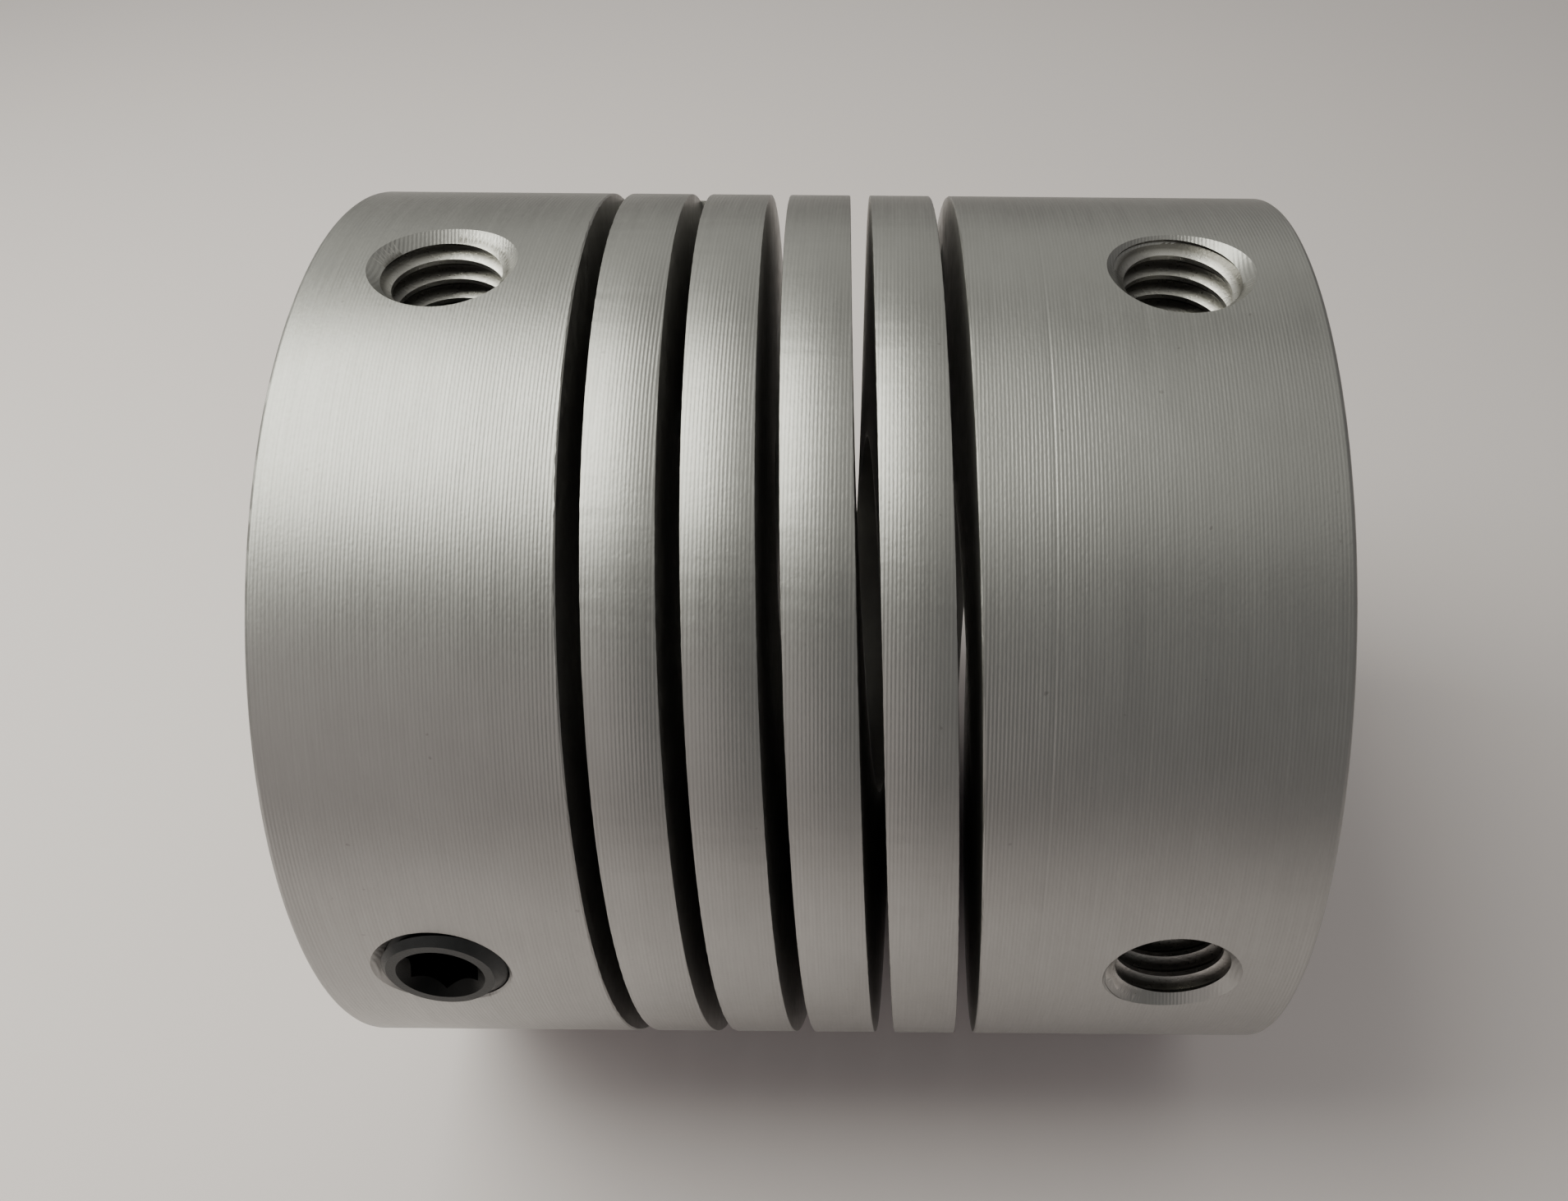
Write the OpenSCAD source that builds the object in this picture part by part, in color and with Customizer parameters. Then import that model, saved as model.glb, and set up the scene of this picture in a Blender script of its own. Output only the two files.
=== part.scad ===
// Set-screw beam coupling: one aluminium cylinder with a through bore, cut by a
// single right-handed helical slot, and a pair of set screws at 90 degrees in each hub.
// Frame: X is the shaft axis, the origin is the middle of the coupling on that axis, +Z is up.
// Angles go round the shaft axis by the right-hand rule, from 0 at +Y to 90 at +Z.

/* [Body] */
// Outer diameter of the coupling
outer_d = 30; // [25:0.5:38]
// Length from end face to end face
body_len = 30; // [28.5:0.5:44]
// Bore for shaft A, at the -X end
bore_a_d = 12; // [6:0.1:12.6]
// Bore for shaft B, at the +X end
bore_b_d = 12; // [6:0.1:12.6]
// Inner diameter of the spring part, where no shaft is gripped
beam_bore_d = 13.2; // [9:0.1:16]
// Chamfer on the outer rim of each end
rim_chamfer = 0.2; // [0.1:0.05:0.6]
// Chamfer on the mouth of each bore
bore_chamfer = 0.4; // [0.1:0.05:0.6]
// Length of the solid ring between a hub's collar and the nearest edge of the slot
root_len = 0.5; // [0.2:0.05:0.6]

/* [Helical slot] */
// Width of the slot
slot_w = 0.65; // [0.3:0.05:0.8]
// Distance that the slot climbs in one turn
slot_pitch = 2.7; // [2:0.05:2.9]
// How far the middle of the slot lies from the middle of the coupling, towards +X
slot_shift = -0.15; // [-0.3:0.05:0.3]
// Angle round the shaft axis at which the slot begins
slot_start_angle = 50; // [40:1:60]

/* [Set screws] */
// Nominal thread diameter of the set screws
screw_d = 4; // [3:0.5:4]
// Gap between a set screw and its hole, on the radius
screw_clearance = 0.03; // [0.02:0.01:0.06]
// Length of a set screw
screw_len = 5; // [3:0.25:6]
// Width across the flats of the hexagon socket
socket_af = 2; // [1.3:0.1:2.2]
// Depth of the hexagon socket
socket_depth = 2; // [1:0.1:2.2]
// Diameter of the sharp rim of the cup point
cup_d = 2; // [1.2:0.1:2.4]
// Depth of the cup in the point
cup_depth = 0.6; // [0.3:0.1:0.7]
// Chamfer round the socket end of a set screw
screw_chamfer = 0.3; // [0.1:0.05:0.4]
// Distance from an end face to the axes of its two set screws
screw_inset = 4; // [3:0.05:4.2]
// How far the outer face of the set screw that is not driven in stands proud of the body
proud = 0.15; // [0:0.05:0.5]
// Gap between the point of a driven set screw and the wall of the bore
tip_gap = 0.4; // [0.1:0.1:0.8]

/* [Hidden] */

outer_r = outer_d / 2;
beam_r = beam_bore_d / 2;
end_x = body_len / 2;
screw_x = end_x - screw_inset;

// The slot makes five turns, which leaves a spring of four turns between them
slot_turns = 5;
slot_end_angle = slot_start_angle + 360 * slot_turns;
beam_start = slot_start_angle;
beam_end = slot_end_angle - 360;

// Radial planes that part the spring, where its flexing is gathered into joints
seam_1 = 90;
seam_2 = 360;
seam_3 = 750;
seam_4 = 1170;
seam_5 = 1440;

// Largest angle between two sections of the spring
ring_angle = 5;

screw_r = screw_d / 2;
hole_r = screw_r + screw_clearance;
socket_r = socket_af / 2 / cos(30);
// The point narrows at 45 degrees, down to the sharp rim of its cup
point_len = screw_r - cup_d / 2;
top_angle = 90;
side_angle = 180;
proud_face_r = outer_r + proud;
driven_face_r_a = bore_a_d / 2 + tip_gap + screw_len;
driven_face_r_b = bore_b_d / 2 + tip_gap + screw_len;

aluminium = [0.74, 0.73, 0.71];
blackened_steel = [0.12, 0.12, 0.13];
// How far a cutter runs past the face that it cuts
overrun = 1;

// Middle and sides of the slot, at an angle that counts on from turn to turn
function slot_mid(angle) = slot_shift
    + slot_pitch * (angle - (slot_start_angle + slot_end_angle) / 2) / 360;
function slot_low(angle) = slot_mid(angle) - slot_w / 2;
function slot_high(angle) = slot_mid(angle) + slot_w / 2;

// Where each hub's collar meets the ring at the root of the spring
collar_a_x = slot_low(slot_start_angle) - root_len;
collar_b_x = slot_high(slot_end_angle) + root_len;

// Angles of the sections from one angle to another
function stations(from, to) = let (count = ceil((to - from) / ring_angle))
    [for (i = [0:count]) from + (to - from) * i / count];

function on_ring(x, radius, angle) = let (a = angle % 360) [x, radius * cos(a), radius * sin(a)];

// Four corners of the spring's section at one angle: low inner, low outer, high outer, high inner
function section(low, high, angle) = [
    on_ring(low, beam_r, angle), on_ring(low, outer_r, angle),
    on_ring(high, outer_r, angle), on_ring(high, beam_r, angle)
];

// Two triangles for each side of each stretch between one section and the next
function side_faces(count) = [
    for (i = [0:count - 2]) for (j = [0:3]) let (
        a = 4 * i + j,
        b = 4 * i + (j + 1) % 4
    ) each [[a, a + 4, b], [b, a + 4, b + 4]]
];

// A band round the shaft axis, from a list of its low edges to a list of its high edges
module band(lows, highs, angles) {
    count = len(angles);
    last = 4 * (count - 1);
    polyhedron(
        points = [for (i = [0:count - 1]) each section(lows[i], highs[i], angles[i])],
        faces = concat([[0, 1, 2, 3]], side_faces(count), [[last + 3, last + 2, last + 1, last]])
    );
}

// A stretch of the spring, between two turns of the slot
module spring(from, to) {
    angles = stations(from, to);
    band([for (a = angles) slot_high(a)], [for (a = angles) slot_low(a + 360)], angles);
}

// Cutter for one screw hole, out to past the surface, in the direction of an angle
module screw_hole(angle) {
    rotate([angle - top_angle, 0, 0])
        cylinder(h = outer_r + overrun, r = hole_r, $fn = 96);
}

// A hub's straight collar, drawn with its end face at +X
module collar(collar_x, bore_d) {
    bore_r = bore_d / 2;
    difference() {
        rotate([0, 90, 0]) rotate_extrude($fn = 180) polygon([
            [bore_r, collar_x],
            [outer_r, collar_x],
            [outer_r, end_x - rim_chamfer],
            [outer_r - rim_chamfer, end_x],
            [bore_r + bore_chamfer, end_x],
            [bore_r, end_x - bore_chamfer]
        ]);
        for (angle = [top_angle, side_angle])
            translate([screw_x, 0, 0]) screw_hole(angle);
    }
}

// A cup-point set screw along +Z, with its outer, socketed face at the origin
module set_screw() {
    difference() {
        rotate_extrude($fn = 96) polygon([
            [0, -screw_len + cup_depth],
            [cup_d / 2, -screw_len],
            [screw_r, -screw_len + point_len],
            [screw_r, -screw_chamfer],
            [screw_r - screw_chamfer, 0],
            [0, 0]
        ]);
        translate([0, 0, -socket_depth])
            cylinder(h = socket_depth + overrun, r = socket_r, $fn = 6);
    }
}

// A set screw in its hole, at a signed distance along the shaft and with its outer face at a radius
module placed_screw(x, angle, face_r) {
    color(blackened_steel)
        translate([x, 0, 0]) rotate([angle - top_angle, 0, 0]) translate([0, 0, face_r]) set_screw();
}

module hub_a() {
    color(aluminium) mirror([1, 0, 0]) collar(-collar_a_x, bore_a_d);
}

module hub_b() {
    color(aluminium) collar(collar_b_x, bore_b_d);
}

// The first turn of the slot climbs along this ring's edge. Where the turn closes there is a step:
// the end wall of the slot, and the root that the spring grows from.
module beam_root_a() {
    color(aluminium) {
        for (from = [beam_start, beam_start + 180]) {
            angles = stations(from, from + 180);
            band([for (a = angles) collar_a_x], [for (a = angles) slot_low(a)], angles);
        }
        spring(beam_start, seam_1);
    }
}

module beam_turn_1() {
    color(aluminium) spring(seam_1, seam_2);
}

module beam_turn_2() {
    color(aluminium) spring(seam_2, seam_3);
}

module beam_turn_3() {
    color(aluminium) spring(seam_3, seam_4);
}

module beam_turn_4() {
    color(aluminium) spring(seam_4, seam_5);
}

module beam_root_b() {
    color(aluminium) {
        for (from = [beam_end, beam_end + 180]) {
            angles = stations(from, from + 180);
            band([for (a = angles) slot_high(a)], [for (a = angles) collar_b_x], angles);
        }
        spring(seam_5, beam_end);
    }
}

module set_screw_a_top() {
    placed_screw(-screw_x, top_angle, driven_face_r_a);
}

module set_screw_a_side() {
    placed_screw(-screw_x, side_angle, proud_face_r);
}

module set_screw_b_top() {
    placed_screw(screw_x, top_angle, driven_face_r_b);
}

module set_screw_b_side() {
    placed_screw(screw_x, side_angle, driven_face_r_b);
}

hub_a();
beam_root_a();
beam_turn_1();
beam_turn_2();
beam_turn_3();
beam_turn_4();
beam_root_b();
hub_b();
set_screw_a_top();
set_screw_a_side();
set_screw_b_top();
set_screw_b_side();
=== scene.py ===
"""Set-screw beam coupling: the visual model, in metres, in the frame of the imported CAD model.

X is the shaft axis, and angles go round it by the right-hand rule, from 0 at +Y to 90 at +Z.
"""
from math import ceil, cos, floor, radians, sin, sqrt, tau

import bmesh
import bpy
from mathutils import Matrix, Vector, noise


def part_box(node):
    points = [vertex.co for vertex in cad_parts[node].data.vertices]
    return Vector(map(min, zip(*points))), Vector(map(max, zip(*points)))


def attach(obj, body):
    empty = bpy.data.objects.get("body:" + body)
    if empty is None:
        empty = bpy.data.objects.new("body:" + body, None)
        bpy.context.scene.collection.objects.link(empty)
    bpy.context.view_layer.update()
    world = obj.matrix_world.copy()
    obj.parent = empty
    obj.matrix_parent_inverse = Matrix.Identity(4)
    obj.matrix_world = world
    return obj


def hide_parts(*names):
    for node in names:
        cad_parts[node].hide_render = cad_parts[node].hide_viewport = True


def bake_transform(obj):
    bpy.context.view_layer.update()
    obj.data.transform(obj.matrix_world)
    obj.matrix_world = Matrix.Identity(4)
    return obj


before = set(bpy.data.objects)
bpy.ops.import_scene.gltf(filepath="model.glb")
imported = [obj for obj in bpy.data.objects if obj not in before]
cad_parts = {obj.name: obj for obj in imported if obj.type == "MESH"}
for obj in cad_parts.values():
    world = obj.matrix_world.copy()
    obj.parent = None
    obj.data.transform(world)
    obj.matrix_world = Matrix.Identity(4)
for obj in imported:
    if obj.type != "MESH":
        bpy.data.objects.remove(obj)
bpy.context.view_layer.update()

# ---------------------------------------------------------------- sizes, in metres and degrees

MM = 0.001

_, hub_a_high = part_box("hub_a")
hub_b_low, hub_b_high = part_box("hub_b")
OUTER_R = hub_b_high[2]
END_X = hub_b_high[0]
COLLAR_A_X = hub_a_high[0]
COLLAR_B_X = hub_b_low[0]

BORE_R = 6 * MM
BEAM_R = 6.6 * MM
RIM_CHAMFER = 0.2 * MM
BORE_CHAMFER = 0.4 * MM

SLOT_W = 0.65 * MM
SLOT_PITCH = 2.7 * MM
SLOT_SHIFT = -0.15 * MM
SLOT_START = 50
SLOT_TURNS = 5
SLOT_END = SLOT_START + 360 * SLOT_TURNS
BEAM_END = SLOT_END - 360
# The cutter leaves each slot edge broken by about this much, and a little ragged
EDGE = 0.045 * MM
RAGGED = 0.030 * MM
# Chips to the millimetre along an edge, in a fine noise and a coarse one, and the coarse one's share
FINE_CHIPS = 3.1
COARSE_CHIPS = 0.7
COARSE_SHARE = 0.6

THREAD_R = 2 * MM
THREAD_PITCH = 0.7 * MM
THREAD_DEPTH = 0.37 * MM
THREAD_GAP = 0.025 * MM
SCREW_INSET = 4 * MM
SCREW_X = END_X - SCREW_INSET
SCREW_LEN = 5 * MM
TOP, SIDE = 90, 180
# Chamfer on the mouth of each row's holes
MOUTH_CHAMFER = {TOP: 0.22 * MM, SIDE: 0.10 * MM}
# How far from the shaft axis each hub's threads start, which sets where their crests lie
THREAD_LOW = {-1: BORE_R - 2 * MM, 1: BORE_R - 2.35 * MM}
# How far the undriven screw's face stands proud, and a driven point's gap to the bore's wall
PROUD = 0.15 * MM
TIP_GAP = 0.4 * MM
PROUD_FACE_R = OUTER_R + PROUD
DRIVEN_FACE_R = BORE_R + TIP_GAP + SCREW_LEN

# Distance between the rings that the turning tool leaves, and where it left a deeper one
FEED = 0.11 * MM
TOOL_MARK_X = 6.85 * MM
# How far a cutter reaches out past the face that it cuts
CUT_OVER = 1 * MM


def slot_mid(angle):
    return SLOT_SHIFT + SLOT_PITCH * (angle - (SLOT_START + SLOT_END) / 2) / 360


def slot_low(angle):
    return slot_mid(angle) - SLOT_W / 2


def slot_high(angle):
    return slot_mid(angle) + SLOT_W / 2


# ---------------------------------------------------------------- mesh tools


def new_piece(name, verts, faces):
    """A mesh object of these vertices and faces, with its normals outward."""
    mesh = bpy.data.meshes.new(name)
    mesh.from_pydata([tuple(v) for v in verts], [], faces)
    shape = bmesh.new()
    shape.from_mesh(mesh)
    bmesh.ops.recalc_face_normals(shape, faces=shape.faces)
    shape.to_mesh(mesh)
    shape.free()
    obj = bpy.data.objects.new(name, mesh)
    bpy.context.scene.collection.objects.link(obj)
    return obj


def smooth(obj, sharp_deg=25):
    """Smooth shading that keeps the edges that turn by more than an angle."""
    obj.data.shade_smooth()
    obj.data.set_sharp_from_angle(angle=radians(sharp_deg))


def on_ring(x, radius, angle):
    a = radians(angle % 360)
    return Vector((x, radius * cos(a), radius * sin(a)))


def sweep(name, angles, section):
    """A closed solid whose section at each angle is a loop of (x, radius) points."""
    loops = [[on_ring(x, r, a) for x, r in section(a)] for a in angles]
    n = len(loops[0])
    verts = [v for loop in loops for v in loop]
    faces = [
        (i * n + j, i * n + (j + 1) % n, (i + 1) * n + (j + 1) % n, (i + 1) * n + j)
        for i in range(len(loops) - 1)
        for j in range(n)
    ]
    last = (len(loops) - 1) * n
    caps = [tuple(range(n)), tuple(last + j for j in range(n))]
    return new_piece(name, verts, faces + caps)


def lathe(name, profile, steps=360):
    """A closed ring about X, whose profile is a loop of (x, radius) points."""
    n = len(profile)
    verts = [on_ring(x, r, 360 * i / steps) for i in range(steps) for x, r in profile]
    faces = [
        (i * n + j, i * n + (j + 1) % n, k * n + (j + 1) % n, k * n + j)
        for i in range(steps)
        for k in [(i + 1) % steps]
        for j in range(n)
    ]
    return new_piece(name, verts, faces)


def spindle(name, profile, steps=96):
    """A closed solid about Z, from (z, radius) points that start and end on the axis."""
    (top_z, _), *middle, (low_z, _) = profile
    n = len(middle)
    verts = [
        (r * cos(tau * i / steps), r * sin(tau * i / steps), z)
        for i in range(steps)
        for z, r in middle
    ] + [(0, 0, top_z), (0, 0, low_z)]
    top, low = len(verts) - 2, len(verts) - 1
    faces = []
    for i in range(steps):
        a, b = i * n, (i + 1) % steps * n
        faces.append((a, b, top))
        faces += [(a + j, a + j + 1, b + j + 1, b + j) for j in range(n - 1)]
        faces.append((a + n - 1, low, b + n - 1))
    return new_piece(name, verts, faces)


# One pitch of a thread, as (share of the pitch, share of the depth)
THREAD_FORM = [
    (0.10, 0.0),
    (0.20, 0.28),
    (0.38, 0.86),
    (0.46, 1.0),
    (0.54, 1.0),
    (0.62, 0.86),
    (0.80, 0.28),
    (0.90, 0.0),
]


def thread_rod(name, low_z, high_z, outer_r, steps=72):
    """A right-handed thread about Z. Its rows of points follow the helix, so its crests are clean."""
    per_turn = len(THREAD_FORM)
    turns = ceil((high_z - low_z) / THREAD_PITCH)
    rows = turns * per_turn

    def point(row, column):
        share, depth = THREAD_FORM[row % per_turn]
        z = low_z + THREAD_PITCH * (row // per_turn + share + column / steps)
        r = outer_r - THREAD_DEPTH * (1 - depth)
        a = tau * column / steps
        return (r * cos(a), r * sin(a), z)

    # The first column goes on for one more turn, where the last column meets it
    where, verts = {}, []
    for column in range(steps):
        for row in range(rows + 1 + (per_turn if column == 0 else 0)):
            where[row, column] = len(verts)
            verts.append(point(row, column))

    def index(row, column):
        return where[row + per_turn, 0] if column == steps else where[row, column]

    faces = [
        (index(row, c), index(row, c + 1), index(row + 1, c + 1), index(row + 1, c))
        for row in range(rows)
        for c in range(steps)
    ]
    low_rim = [index(0, c) for c in range(steps)] + [index(k, 0) for k in range(per_turn, 0, -1)]
    high_rim = [index(rows, c) for c in range(steps)]
    high_rim += [index(rows + k, 0) for k in range(per_turn, 0, -1)]
    high_z = verts[high_rim[-1]][2]
    for rim, tip_z in ((low_rim, low_z - THREAD_PITCH), (high_rim, high_z + THREAD_PITCH)):
        tip = len(verts)
        verts.append((0, 0, tip_z))
        faces += [(a, b, tip) for a, b in zip(rim, rim[1:] + rim[:1])]
    return new_piece(name, verts, faces)


def prism(name, corners, low_z, high_z):
    n = len(corners)
    verts = [(x, y, z) for z in (low_z, high_z) for x, y in corners]
    sides = [(j, (j + 1) % n, n + (j + 1) % n, n + j) for j in range(n)]
    return new_piece(name, verts, sides + [tuple(range(n)), tuple(range(n, 2 * n))])


# Points closer than this are one point after the booleans
WELD = 0.002 * MM
CLEAN_ROUNDS = 6


def combine(obj, tool, operation):
    """Applies one boolean to an object and removes the tool."""
    modifier = obj.modifiers.new(operation, "BOOLEAN")
    modifier.operation = operation
    modifier.solver = "MANIFOLD"
    modifier.object = tool
    graph = bpy.context.evaluated_depsgraph_get()
    made = bpy.data.meshes.new_from_object(obj.evaluated_get(graph))
    made.materials.clear()
    obj.modifiers.clear()
    old = obj.data
    obj.data = made
    made.name = obj.name
    bpy.data.meshes.remove(old)
    bpy.data.objects.remove(tool)


def clean(obj):
    """Welds what the booleans leave almost touching, and removes the folded faces that come of it."""
    form = bmesh.new()
    form.from_mesh(obj.data)
    bmesh.ops.triangulate(form, faces=form.faces[:])
    for _ in range(CLEAN_ROUNDS):
        bmesh.ops.remove_doubles(form, verts=form.verts[:], dist=WELD)
        bmesh.ops.dissolve_degenerate(form, edges=form.edges[:], dist=WELD)
        bmesh.ops.triangulate(form, faces=form.faces[:])
        same = {}
        for face in form.faces:
            same.setdefault(frozenset(v.index for v in face.verts), []).append(face)
        folded = [face for faces in same.values() if len(faces) > 1 for face in faces]
        bmesh.ops.delete(form, geom=folded, context="FACES")
        form.verts.index_update()
    # The solid itself is closed, so a face with an open edge is a loose sheet
    sheets = [face for face in form.faces if any(edge.is_boundary for edge in face.edges)]
    bmesh.ops.delete(form, geom=sheets, context="FACES")
    form.to_mesh(obj.data)
    form.free()


def move(obj, matrix):
    obj.data.transform(matrix)


def radial_place(x, angle):
    """Takes Z to the outward direction at an angle, at a place along the shaft."""
    return Matrix.Translation((x, 0, 0)) @ Matrix.Rotation(radians(angle - 90), 4, "X")


# ---------------------------------------------------------------- the spring


def ragged(angle, edge):
    """How much an edge of the slot is worn away at an angle. Each edge has its own line of noise."""
    s = radians(angle) * OUTER_R / MM
    fine = noise.noise(Vector((FINE_CHIPS * s, 11.0 * edge, 0.0)))
    coarse = noise.noise(Vector((COARSE_CHIPS * s, 5.0 * edge, 9.0)))
    return EDGE + RAGGED * (fine + COARSE_SHARE * coarse)


def broken_corner(x, r, x_way, r_way, size, x_first):
    """Three points that round off a corner, in the order that the section's loop needs."""
    s = size * 0.3
    points = [(x, r + r_way * size), (x + x_way * s, r + r_way * s), (x + x_way * size, r)]
    return points if x_first else points[::-1]


def spring_section(angle):
    low, high = slot_high(angle), slot_low(angle + 360)
    return (
        broken_corner(low, OUTER_R, 1, -1, ragged(angle, 1), True)
        + broken_corner(high, OUTER_R, -1, -1, ragged(angle + 360, 2), False)
        + broken_corner(high, BEAM_R, -1, 1, EDGE, True)
        + broken_corner(low, BEAM_R, 1, 1, EDGE, False)
    )


# Largest angle between two sections of the spring, and the angle of the extra ones near its ends
SECTION_STEP = 0.5
END_LEAD = 0.1


def stations(start, end):
    """Angles of a sweep's sections, with one close to each end so that the ends shade true."""
    count = ceil((end - start) / SECTION_STEP)
    between = [start + (end - start) * i / count for i in range(1, count)]
    return [start, start + END_LEAD] + between + [end - END_LEAD, end]


# ---------------------------------------------------------------- the hubs

# How far the edge cutters reach past the wall of the spring, inside and out
CUTTER_LIP = 0.3 * MM
# How far along X a blank reaches past the slot's edge, and a cutter past the blank
OVER = 0.8 * MM
# Angle that one edge cutter covers, and how far round the next one starts
CUTTER_SPAN = 190
CUTTER_STEP = 170
# Radius at which the cone that breaks a hole's mouth is cut off
CONE_TIP_R = 0.6 * MM


def edge_cutter(name, start, end, edge, side, toward, far_x):
    """Removes all that lies past one helical edge, and breaks that edge inside and out."""

    def section(angle):
        x = edge(angle)
        chip = ragged(angle, side)
        return [
            (x, BEAM_R + EDGE),
            (x, OUTER_R - chip),
            (x - toward * (chip + CUTTER_LIP), OUTER_R + CUTTER_LIP),
            (far_x, OUTER_R + CUTTER_LIP),
            (far_x, BEAM_R - CUTTER_LIP),
            (x - toward * (EDGE + CUTTER_LIP), BEAM_R - CUTTER_LIP),
        ]

    count = ceil((end - start) / SECTION_STEP)
    return sweep(name, [start + (end - start) * i / count for i in range(count + 1)], section)


def cut_screw_hole(hub, sign, angle):
    """A threaded hole from the bore out through the surface, with a broken mouth."""
    place = radial_place(sign * SCREW_X, angle)
    rod = thread_rod("thread", THREAD_LOW[sign], OUTER_R + CUT_OVER, THREAD_R + THREAD_GAP)
    move(rod, place)
    combine(hub, rod, "DIFFERENCE")
    mouth_r = THREAD_R + MOUTH_CHAMFER[angle]
    tip_z = OUTER_R - mouth_r + CONE_TIP_R
    cone = spindle(
        "mouth",
        [
            (OUTER_R + CUT_OVER, 0),
            (OUTER_R + CUT_OVER, mouth_r + CUT_OVER),
            (OUTER_R, mouth_r),
            (tip_z, CONE_TIP_R),
            (tip_z, 0),
        ],
    )
    move(cone, place)
    combine(hub, cone, "DIFFERENCE")


def rounded_rim(end_x, way):
    """The outer rim of an end face: a small rounded chamfer, from the face to the outside."""
    c = RIM_CHAMFER
    turns = [radians(a) for a in (90, 70, 45, 20, 0)]
    return [(end_x + way * c * (1 - sin(a)), OUTER_R - c * (1 - cos(a))) for a in turns]


def bore_mouth(end_x, way):
    c = BORE_CHAMFER
    return [(end_x + way * c, BORE_R), (end_x, BORE_R + c)]


def make_hub_a():
    far = slot_low(SLOT_START + 360) + OVER
    profile = bore_mouth(-END_X, 1) + rounded_rim(-END_X, 1)
    profile += [(far, OUTER_R), (far, BEAM_R), (COLLAR_A_X, BEAM_R), (COLLAR_A_X, BORE_R)]
    hub = lathe("hub_a_and_root", profile)
    for start in (SLOT_START, SLOT_START + CUTTER_STEP):
        tool = edge_cutter("cut", start, start + CUTTER_SPAN, slot_low, 1, 1, far + OVER)
        combine(hub, tool, "DIFFERENCE")
    for angle in (TOP, SIDE):
        cut_screw_hole(hub, -1, angle)
    return hub


def make_root_b():
    far = slot_high(BEAM_END) - OVER
    profile = [(far, OUTER_R), (COLLAR_B_X, OUTER_R), (COLLAR_B_X, BEAM_R), (far, BEAM_R)]
    root = lathe("spring_root_b", profile)
    for start in (BEAM_END, BEAM_END + CUTTER_STEP):
        tool = edge_cutter("cut", start, start + CUTTER_SPAN, slot_high, 2, -1, far - OVER)
        combine(root, tool, "DIFFERENCE")
    return root


def make_hub_b():
    profile = bore_mouth(END_X, -1) + rounded_rim(END_X, -1)
    profile += [(COLLAR_B_X, OUTER_R), (COLLAR_B_X, BORE_R)]
    hub = lathe("hub_b_collar", profile)
    for angle in (TOP, SIDE):
        cut_screw_hole(hub, 1, angle)
    return hub


# ---------------------------------------------------------------- the set screws

SOCKET_AF = 2 * MM
SOCKET_DEPTH = 2 * MM
LEAD_IN_R = 1.32 * MM
LEAD_IN_DEPTH = 0.4 * MM
CUP_R = 1 * MM
CUP_DEPTH = 0.6 * MM
# How much the rim of the socketed face is broken, and how much wider than the thread's root it is
FACE_BREAK = 0.04 * MM
FACE_MARGIN = 0.03 * MM
# The socket's painted shade goes from this far below its floor to this far below the screw's face
SOCKET_MARGIN = 0.1 * MM
SOCKET_TOP = 0.01 * MM


def make_screw(name, sign, angle, face_r, spin):
    """A cup-point set screw, with its socketed face at a radius from the shaft axis.

    Its thread starts a whole number of pitches from where its hole's does, so that the two mesh.
    """
    turns_out = floor((face_r - SCREW_LEN - THREAD_LOW[sign]) / THREAD_PITCH) - 1
    low_z = THREAD_LOW[sign] + turns_out * THREAD_PITCH - face_r
    screw = thread_rod(name, low_z, 2 * THREAD_PITCH, THREAD_R - THREAD_GAP)
    flat_r = THREAD_R - THREAD_DEPTH + FACE_MARGIN
    chamfer = THREAD_R - flat_r
    envelope = spindle(
        "envelope",
        [
            (0, 0),
            (0, flat_r - FACE_BREAK),
            (-FACE_BREAK, flat_r + FACE_BREAK / 4),
            (-chamfer, THREAD_R),
            (-SCREW_LEN + THREAD_R - CUP_R, THREAD_R),
            (-SCREW_LEN, CUP_R),
            (-SCREW_LEN + CUP_DEPTH, 0),
        ],
    )
    combine(screw, envelope, "INTERSECT")
    corner_r = SOCKET_AF / 2 / cos(radians(30))
    corners = [radians(60 * k + spin) for k in range(6)]
    hexagon = [(corner_r * cos(a), corner_r * sin(a)) for a in corners]
    combine(screw, prism("socket", hexagon, -SOCKET_DEPTH, CUT_OVER), "DIFFERENCE")
    lead_in = spindle(
        "lead_in",
        [
            (CUT_OVER, 0),
            (CUT_OVER, LEAD_IN_R),
            (0, LEAD_IN_R),
            (-LEAD_IN_DEPTH, SOCKET_AF / 2),
            (-LEAD_IN_DEPTH, 0),
        ],
    )
    combine(screw, lead_in, "DIFFERENCE")
    clean(screw)
    screw.data.materials.append(BLACK)
    screw.data.materials.append(SOCKET_SHADE)
    # Faces deep inside the socket take the darker copy of the black oxide: painted shade in the socket
    for face in screw.data.polygons:
        deep = -SOCKET_DEPTH - SOCKET_MARGIN < face.center.z < -SOCKET_TOP
        inside = deep and face.center.xy.length < LEAD_IN_R
        face.material_index = 1 if inside else 0
    smooth(screw, 30)
    move(screw, radial_place(sign * SCREW_X, angle) @ Matrix.Translation((0, 0, face_r)))
    return screw


# ---------------------------------------------------------------- materials
#
# Places are in millimetres, so a noise's scale is about its number of features to the millimetre.


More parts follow.
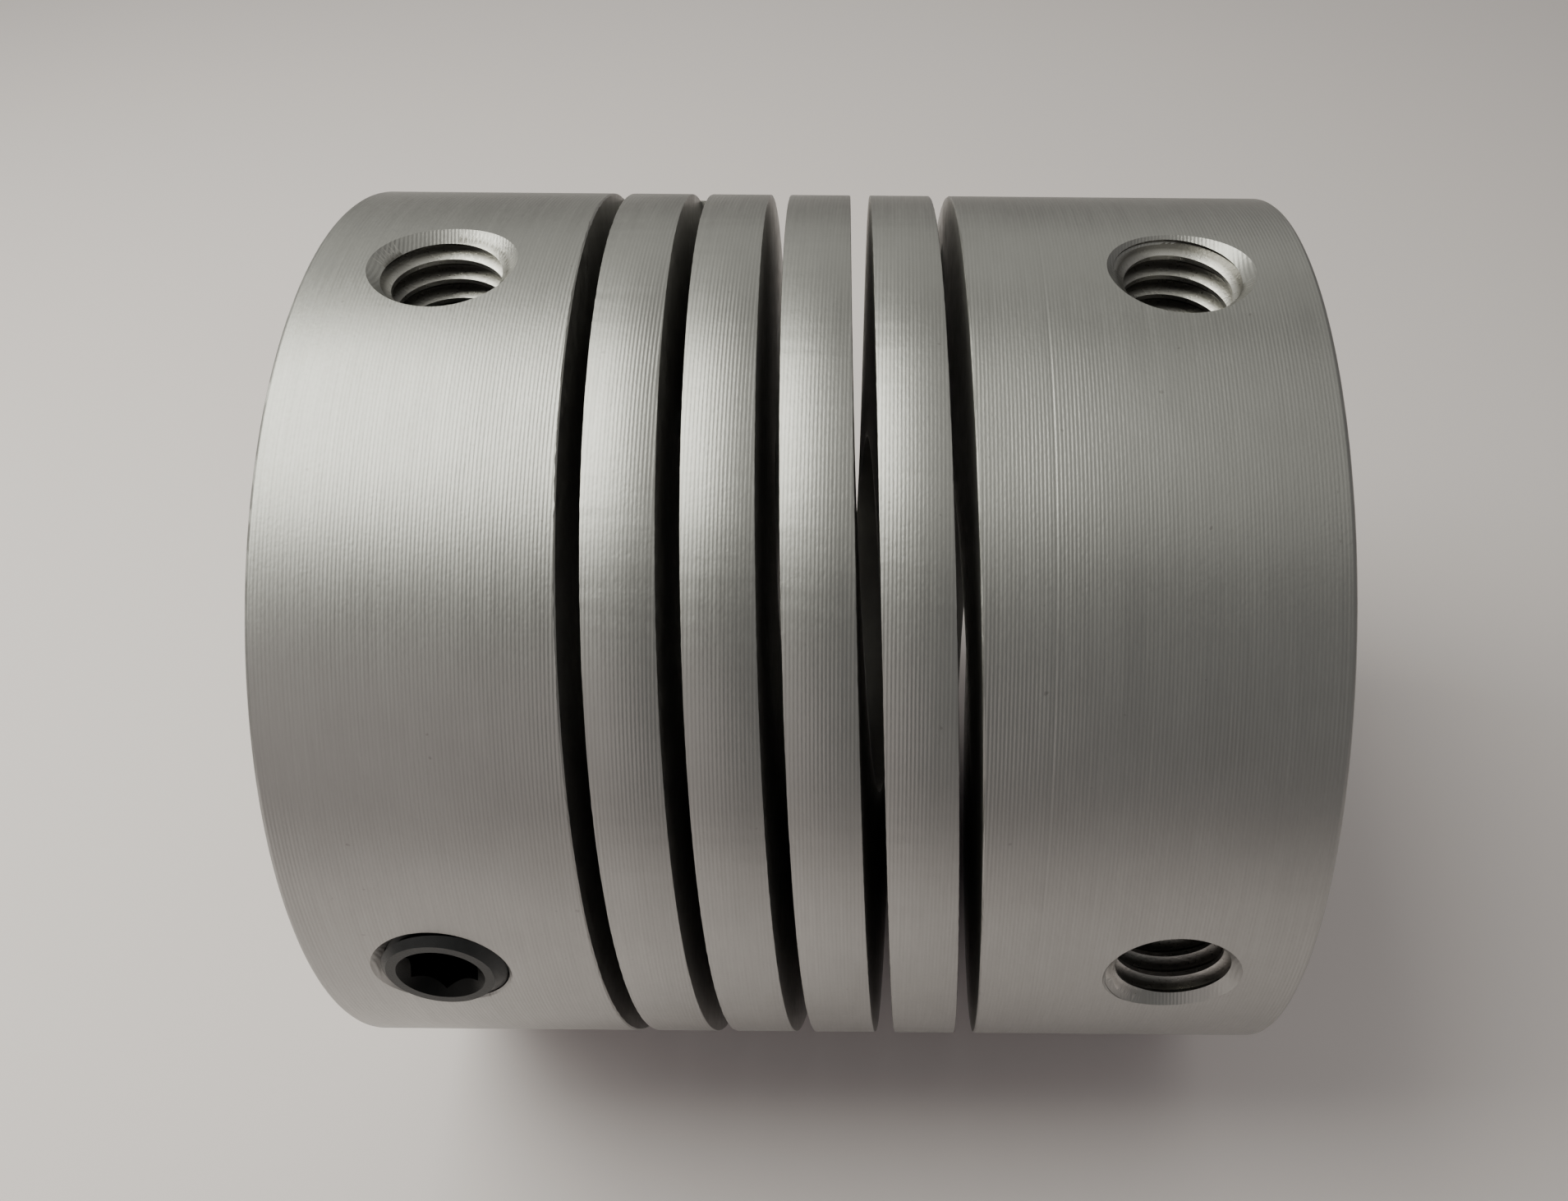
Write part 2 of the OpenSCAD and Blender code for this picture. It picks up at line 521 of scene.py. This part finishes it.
class Nodes:
    """A short way to build a material's node tree."""

    def __init__(self, name):
        self.material = bpy.data.materials.new(name)
        self.material.use_nodes = True
        self.tree = self.material.node_tree
        self.tree.nodes.clear()
        self.shader = self.add("ShaderNodeBsdfPrincipled")
        output = self.add("ShaderNodeOutputMaterial")
        self.link(self.shader.outputs[0], output.inputs[0])
        place = self.add("ShaderNodeTexCoord").outputs["Object"]
        self.xyz = self.vector("SCALE", place, 1 / MM)
        split = self.add("ShaderNodeSeparateXYZ")
        self.link(self.xyz, split.inputs[0])
        self.x, self.y, self.z = split.outputs

    def add(self, kind, **settings):
        node = self.tree.nodes.new(kind)
        for key, value in settings.items():
            setattr(node, key, value)
        return node

    def link(self, a, b):
        self.tree.links.new(a, b)

    def put(self, socket, value):
        if hasattr(value, "is_linked"):
            self.link(value, socket)
        else:
            socket.default_value = value

    def math(self, operation, a, b=0.0, c=0.0):
        node = self.add("ShaderNodeMath", operation=operation)
        for socket, value in zip(node.inputs, (a, b, c)):
            self.put(socket, value)
        return node.outputs[0]

    def vector(self, operation, a, b):
        node = self.add("ShaderNodeVectorMath", operation=operation)
        self.put(node.inputs[0], a)
        self.put(node.inputs["Scale"] if operation == "SCALE" else node.inputs[1], b)
        return node.outputs[0]

    def noise(self, place, scale, detail=2.0, rough=0.5):
        node = self.add("ShaderNodeTexNoise")
        self.link(place, node.inputs["Vector"])
        node.inputs["Scale"].default_value = scale
        node.inputs["Detail"].default_value = detail
        node.inputs["Roughness"].default_value = rough
        return node.outputs["Fac"]

    def fit(self, value, low, high, to_low, to_high):
        node = self.add("ShaderNodeMapRange")
        for socket, number in zip(node.inputs, (value, low, high, to_low, to_high)):
            self.put(socket, number)
        return node.outputs[0]

    def mix(self, share, a, b):
        node = self.add("ShaderNodeMix", data_type="RGBA")
        for key, value in (("Factor", share), ("A", a), ("B", b)):
            socket = next(s for s in node.inputs if s.name == key and s.enabled)
            self.put(socket, value)
        return next(s for s in node.outputs if s.enabled)

    def bump(self, height, distance, normal=None):
        node = self.add("ShaderNodeBump")
        node.inputs["Distance"].default_value = distance
        node.inputs["Strength"].default_value = 1.0
        self.link(height, node.inputs["Height"])
        if normal is not None:
            self.link(normal, node.inputs["Normal"])
        return node.outputs[0]

    def set(self, **values):
        for key, value in values.items():
            self.put(self.shader.inputs[key.replace("_", " ")], value)


def grey(level, warm=0.0):
    return (level * (1 + warm), level, level * (1 - warm), 1)


def turned_aluminium():
    """The outside: rings from the turning tool, streaks that run round, fine grain and a few specks."""
    n = Nodes("turned_aluminium")
    # Streaks run round the part, so their noise is stretched along Y and Z
    across = n.vector("MULTIPLY", n.xyz, (1.0, 0.02, 0.02))
    wander = n.noise(n.vector("MULTIPLY", n.xyz, (0.5, 0.12, 0.12)), 1.0)
    phase = n.math("MULTIPLY_ADD", wander, 0.05, n.x)
    rings = n.math("SINE", n.math("MULTIPLY", phase, tau * MM / FEED))
    uneven = n.noise(across, 7.0, 3.0, 0.7)
    streaks = n.noise(across, 22.0, 2.0, 0.6)
    depth = n.fit(n.noise(n.vector("MULTIPLY", n.xyz, (0.25, 0.1, 0.1)), 1.0), 0.35, 0.65, 0.6, 1.3)
    height = n.math("ADD", n.math("MULTIPLY", rings, depth), streaks)
    height = n.math("ADD", height, n.math("MULTIPLY", uneven, 0.5))
    # One deeper ring, where the tool stopped
    off = n.math("ABSOLUTE", n.math("SUBTRACT", n.x, TOOL_MARK_X / MM))
    height = n.math("ADD", height, n.fit(off, 0.0, 0.06, -2.5, 0.0))
    fine = n.bump(height, 0.0023 * MM)
    grain = n.noise(n.xyz, 9.0, 3.0, 0.6)
    normal = n.bump(grain, 0.006 * MM, fine)
    cloud = n.noise(n.xyz, 0.22, 3.0, 0.6)
    tone = n.math("ADD", n.math("MULTIPLY", streaks, 0.35), n.math("MULTIPLY", cloud, 0.65))
    colour = n.mix(n.fit(tone, 0.3, 0.7, 0.0, 1.0), grey(0.33, 0.012), grey(0.39, 0.01))
    specks = n.fit(n.noise(n.xyz, 3.6, 1.0), 0.78, 0.82, 0.0, 1.0)
    colour = n.mix(n.math("MULTIPLY", specks, 0.5), colour, grey(0.2, 0.03))
    rough = n.fit(n.math("ADD", uneven, grain), 0.6, 1.4, 0.34, 0.46)
    n.set(Base_Color=colour, Metallic=1.0, Roughness=rough, Normal=normal)
    return n.material


def faced_aluminium():
    """The end faces: rings about the shaft axis from the facing cut."""
    n = Nodes("faced_aluminium")
    squares = n.math("ADD", n.math("MULTIPLY", n.y, n.y), n.math("MULTIPLY", n.z, n.z))
    radius = n.math("SQRT", squares)
    rings = n.math("SINE", n.math("MULTIPLY", radius, tau * MM / (1.4 * FEED)))
    shape = n.add("ShaderNodeCombineXYZ")
    n.link(radius, shape.inputs[0])
    streaks = n.noise(shape.outputs[0], 9.0, 3.0, 0.7)
    height = n.math("ADD", rings, n.math("MULTIPLY", streaks, 3.0))
    normal = n.bump(height, 0.0010 * MM)
    cloud = n.noise(n.xyz, 0.4, 3.0)
    colour = n.mix(cloud, grey(0.34, 0.012), grey(0.42, 0.01))
    rough = n.fit(streaks, 0.3, 0.7, 0.26, 0.40)
    n.set(Base_Color=colour, Metallic=1.0, Roughness=rough, Normal=normal)
    return n.material


def cut_aluminium_and_shade():
    """Slot walls and bores: coarser tool marks, a duller skin, and a colour darker than the outside's
    that is partly painted shade in the slots and the bore.
    """
    n = Nodes("cut_aluminium_and_shade")
    marks = n.noise(n.vector("MULTIPLY", n.xyz, (1.0, 0.35, 0.35)), 6.0, 4.0, 0.7)
    cloud = n.noise(n.xyz, 0.9, 3.0)
    normal = n.bump(marks, 0.010 * MM)
    # Darker than the outside: partly painted shade in the slots and the bore
    colour = n.mix(cloud, grey(0.24, 0.02), grey(0.36, 0.02))
    rough = n.fit(marks, 0.3, 0.7, 0.32, 0.52)
    n.set(Base_Color=colour, Metallic=1.0, Roughness=rough, Normal=normal)
    return n.material


def tapped_aluminium():
    """Thread flanks and hole mouths: torn a little by the tap, with painted shade in the grooves of the
    thread below the mouth.
    """
    n = Nodes("tapped_aluminium")
    tears = n.noise(n.xyz, 11.0, 4.0, 0.65)
    normal = n.bump(tears, 0.010 * MM)
    colour = n.mix(n.noise(n.xyz, 2.0, 2.0), grey(0.40, 0.03), grey(0.54, 0.02))
    # Painted shade: darker towards the roots of the thread, and not near the mouth
    along = n.math("SUBTRACT", n.math("ABSOLUTE", n.x), SCREW_X / MM)
    across = n.math("MINIMUM", n.math("ABSOLUTE", n.y), n.math("ABSOLUTE", n.z))
    squares = n.math("ADD", n.math("POWER", along, 2.0), n.math("POWER", across, 2.0))
    off_axis = n.math("SQRT", squares)
    crest_r = (THREAD_R - THREAD_DEPTH) / MM
    groove = n.fit(off_axis, crest_r + 0.06, crest_r + 0.24, 0.0, 0.85)
    height = n.math("MAXIMUM", n.math("ABSOLUTE", n.y), n.math("ABSOLUTE", n.z))
    below = n.fit(height, OUTER_R / MM - 0.36, OUTER_R / MM - 0.24, 1.0, 0.0)
    # Paints the grooves' shade in a dark brown-grey
    colour = n.mix(n.math("MULTIPLY", groove, below), colour, (0.10, 0.095, 0.085, 1))
    rough = n.fit(tears, 0.3, 0.7, 0.24, 0.42)
    n.set(Base_Color=colour, Metallic=1.0, Roughness=rough, Normal=normal)
    return n.material


def black_oxide(name, dark, light):
    """Blackened alloy steel: dark and slightly oily."""
    n = Nodes(name)
    cloud = n.noise(n.xyz, 1.6, 4.0, 0.6)
    grain = n.noise(n.xyz, 24.0, 3.0, 0.6)
    colour = n.mix(cloud, grey(dark, -0.06), grey(light, -0.05))
    rough = n.fit(n.math("ADD", cloud, grain), 0.7, 1.3, 0.28, 0.46)
    normal = n.bump(grain, 0.006 * MM)
    n.set(Base_Color=colour, Metallic=0.75, Roughness=rough, Normal=normal)
    return n.material


def plain_floor():
    n = Nodes("pale_floor")
    paper = n.noise(n.xyz, 0.02, 3.0)
    colour = n.mix(paper, (0.75, 0.69, 0.71, 1), (0.79, 0.73, 0.75, 1))
    n.set(Base_Color=colour, Roughness=0.9)
    return n.material


TURNED = turned_aluminium()
FACED = faced_aluminium()
CUT_AND_SHADE = cut_aluminium_and_shade()
TAPPED = tapped_aluminium()
BLACK = black_oxide("black_oxide", 0.020, 0.050)
# A darker copy of the black oxide, which paints shade inside the socket
SOCKET_SHADE = black_oxide("socket_oxide_painted_shade", 0.003, 0.010)


# How far a screw hole's finish reaches past its thread, and inward past the wall of the bore
TAPPED_MARGIN = 0.3 * MM
TAPPED_BELOW = 0.5 * MM


def finish_of(centre, normal):
    """Which of the four aluminium finishes a face has, from where it is and the way it faces."""
    radius = sqrt(centre.y**2 + centre.z**2)
    outward = (normal.y * centre.y + normal.z * centre.z) / max(radius, 1e-9)
    if radius > OUTER_R - 1.2 * RIM_CHAMFER and outward > 0.5:
        return 0
    if abs(centre.x) > END_X - BORE_CHAMFER and abs(normal.x) > 0.5:
        return 1
    for sign in (-1, 1):
        for way in (Vector((0, 0, 1)), Vector((0, -1, 0))):
            out = centre.dot(way)
            off = centre - way * out - Vector((sign * SCREW_X, 0, 0))
            if out > BORE_R - TAPPED_BELOW and off.length < THREAD_R + TAPPED_MARGIN:
                return 3
    return 2


def finish_aluminium(obj):
    """Gives each face of a piece of the body its finish, in the order that finish_of counts them."""
    for material in (TURNED, FACED, CUT_AND_SHADE, TAPPED):
        obj.data.materials.append(material)
    for face in obj.data.polygons:
        face.material_index = finish_of(face.center, face.normal)
    smooth(obj)


# ---------------------------------------------------------------- the pieces

hub_a = make_hub_a()
root_b = make_root_b()
hub_b = make_hub_b()
for piece, body, nodes in (
    (hub_a, "hub_a", ("hub_a", "beam_root_a")),
    (root_b, "root_b", ("beam_root_b",)),
    (hub_b, "hub_b", ("hub_b",)),
):
    clean(piece)
    finish_aluminium(piece)
    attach(piece, body)
    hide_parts(*nodes)

# The spring rides rigidly between these angles, and the real part bends over the half turn or so
# between them; here those stretches are swept as pieces that follow no body
RIGID = [("turn_1", 180, 270), ("turn_2", 450, 660), ("turn_3", 840, 1080), ("turn_4", 1260, 1360)]
HELD = [("hub_a", SLOT_START, SLOT_START), *RIGID, ("root_b", BEAM_END, BEAM_END)]
BENDS = [(a, b, start, end) for (a, _, start), (b, end, _) in zip(HELD, HELD[1:])]
for body, start, end in RIGID:
    piece = sweep(f"spring_{body}", stations(start, end), spring_section)
    finish_aluminium(piece)
    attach(piece, body)
    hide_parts(f"beam_{body}")
for number, (body, other, start, end) in enumerate(BENDS, 1):
    piece = sweep(f"spring_bend_{number}", stations(start, end), spring_section)
    finish_aluminium(piece)
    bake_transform(piece)

# Each screw's hub, the way it faces, where its face is and how far its socket is turned
for name, sign, angle, face_r, spin in (
    ("set_screw_a_top", -1, TOP, DRIVEN_FACE_R, 10),
    ("set_screw_a_side", -1, SIDE, PROUD_FACE_R, 25),
    ("set_screw_b_top", 1, TOP, DRIVEN_FACE_R, 40),
    ("set_screw_b_side", 1, SIDE, DRIVEN_FACE_R, 5),
):
    screw = make_screw(f"{name}_threaded", sign, angle, face_r, spin)
    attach(screw, name.replace("set_", ""))
    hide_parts(name)

# ---------------------------------------------------------------- floor, light and camera

FLOOR_REACH = 3.0
corners = [(-FLOOR_REACH, -FLOOR_REACH), (FLOOR_REACH, -FLOOR_REACH)]
corners += [(FLOOR_REACH, FLOOR_REACH), (-FLOOR_REACH, FLOOR_REACH)]
ground = new_piece("floor", [(x, y, -OUTER_R) for x, y in corners], [(0, 1, 2, 3)])
ground.data.materials.append(plain_floor())

world = bpy.data.worlds.new("studio")
world.use_nodes = True
sky = world.node_tree.nodes["Background"]
sky.inputs[0].default_value = (1.0, 0.985, 0.93, 1)
sky.inputs[1].default_value = 0.24
bpy.context.scene.world = world


def softbox(name, place, size, size_y, power, colour):
    """An area light that faces the coupling."""
    data = bpy.data.lights.new(name, "AREA")
    data.shape = "RECTANGLE"
    data.size, data.size_y = size, size_y
    data.energy = power
    data.color = colour
    lamp = bpy.data.objects.new(name, data)
    lamp.location = place
    lamp.rotation_mode = "QUATERNION"
    lamp.rotation_quaternion = (-Vector(place)).to_track_quat("-Z", "Y")
    bpy.context.scene.collection.objects.link(lamp)


softbox("overhead", (-0.065, 0.004, 0.089), 0.089, 0.117, 0.18, (0.99, 1.0, 0.87))
softbox("overhead_right", (0.030, 0.000, 0.100), 0.100, 0.090, 0.010, (0.99, 1.0, 0.87))
softbox("front_left", (-0.060, -0.090, 0.035), 0.120, 0.070, 0.010, (1.0, 0.88, 0.82))
softbox("behind", (0.000, 0.092, 0.062), 0.160, 0.060, 0.012, (0.99, 1.0, 0.87))

# The camera's angle above the floor and its roll are in degrees
VIEW_ELEVATION = 46.4
CAMERA_DISTANCE = 3.54 * OUTER_R
CAMERA_RIGHT = 0.15 * OUTER_R
CAMERA_ROLL = 0.48

camera_data = bpy.data.cameras.new("camera")
camera_data.lens = 32.6
camera_data.sensor_width = 36
camera_data.shift_x = -0.0642
camera_data.shift_y = 0.0085
camera_data.clip_start = 0.001
camera = bpy.data.objects.new("camera", camera_data)
bpy.context.scene.collection.objects.link(camera)
back = Vector((0, -cos(radians(VIEW_ELEVATION)), sin(radians(VIEW_ELEVATION))))
up = Vector((0, sin(radians(VIEW_ELEVATION)), cos(radians(VIEW_ELEVATION))))
right = Vector((1, 0, 0))
camera.rotation_mode = "QUATERNION"
turn = Matrix((right, up, back)).transposed() @ Matrix.Rotation(radians(CAMERA_ROLL), 3, "Z")
camera.rotation_quaternion = turn.to_quaternion()
camera.location = back * CAMERA_DISTANCE + right * CAMERA_RIGHT
bpy.context.scene.camera = camera
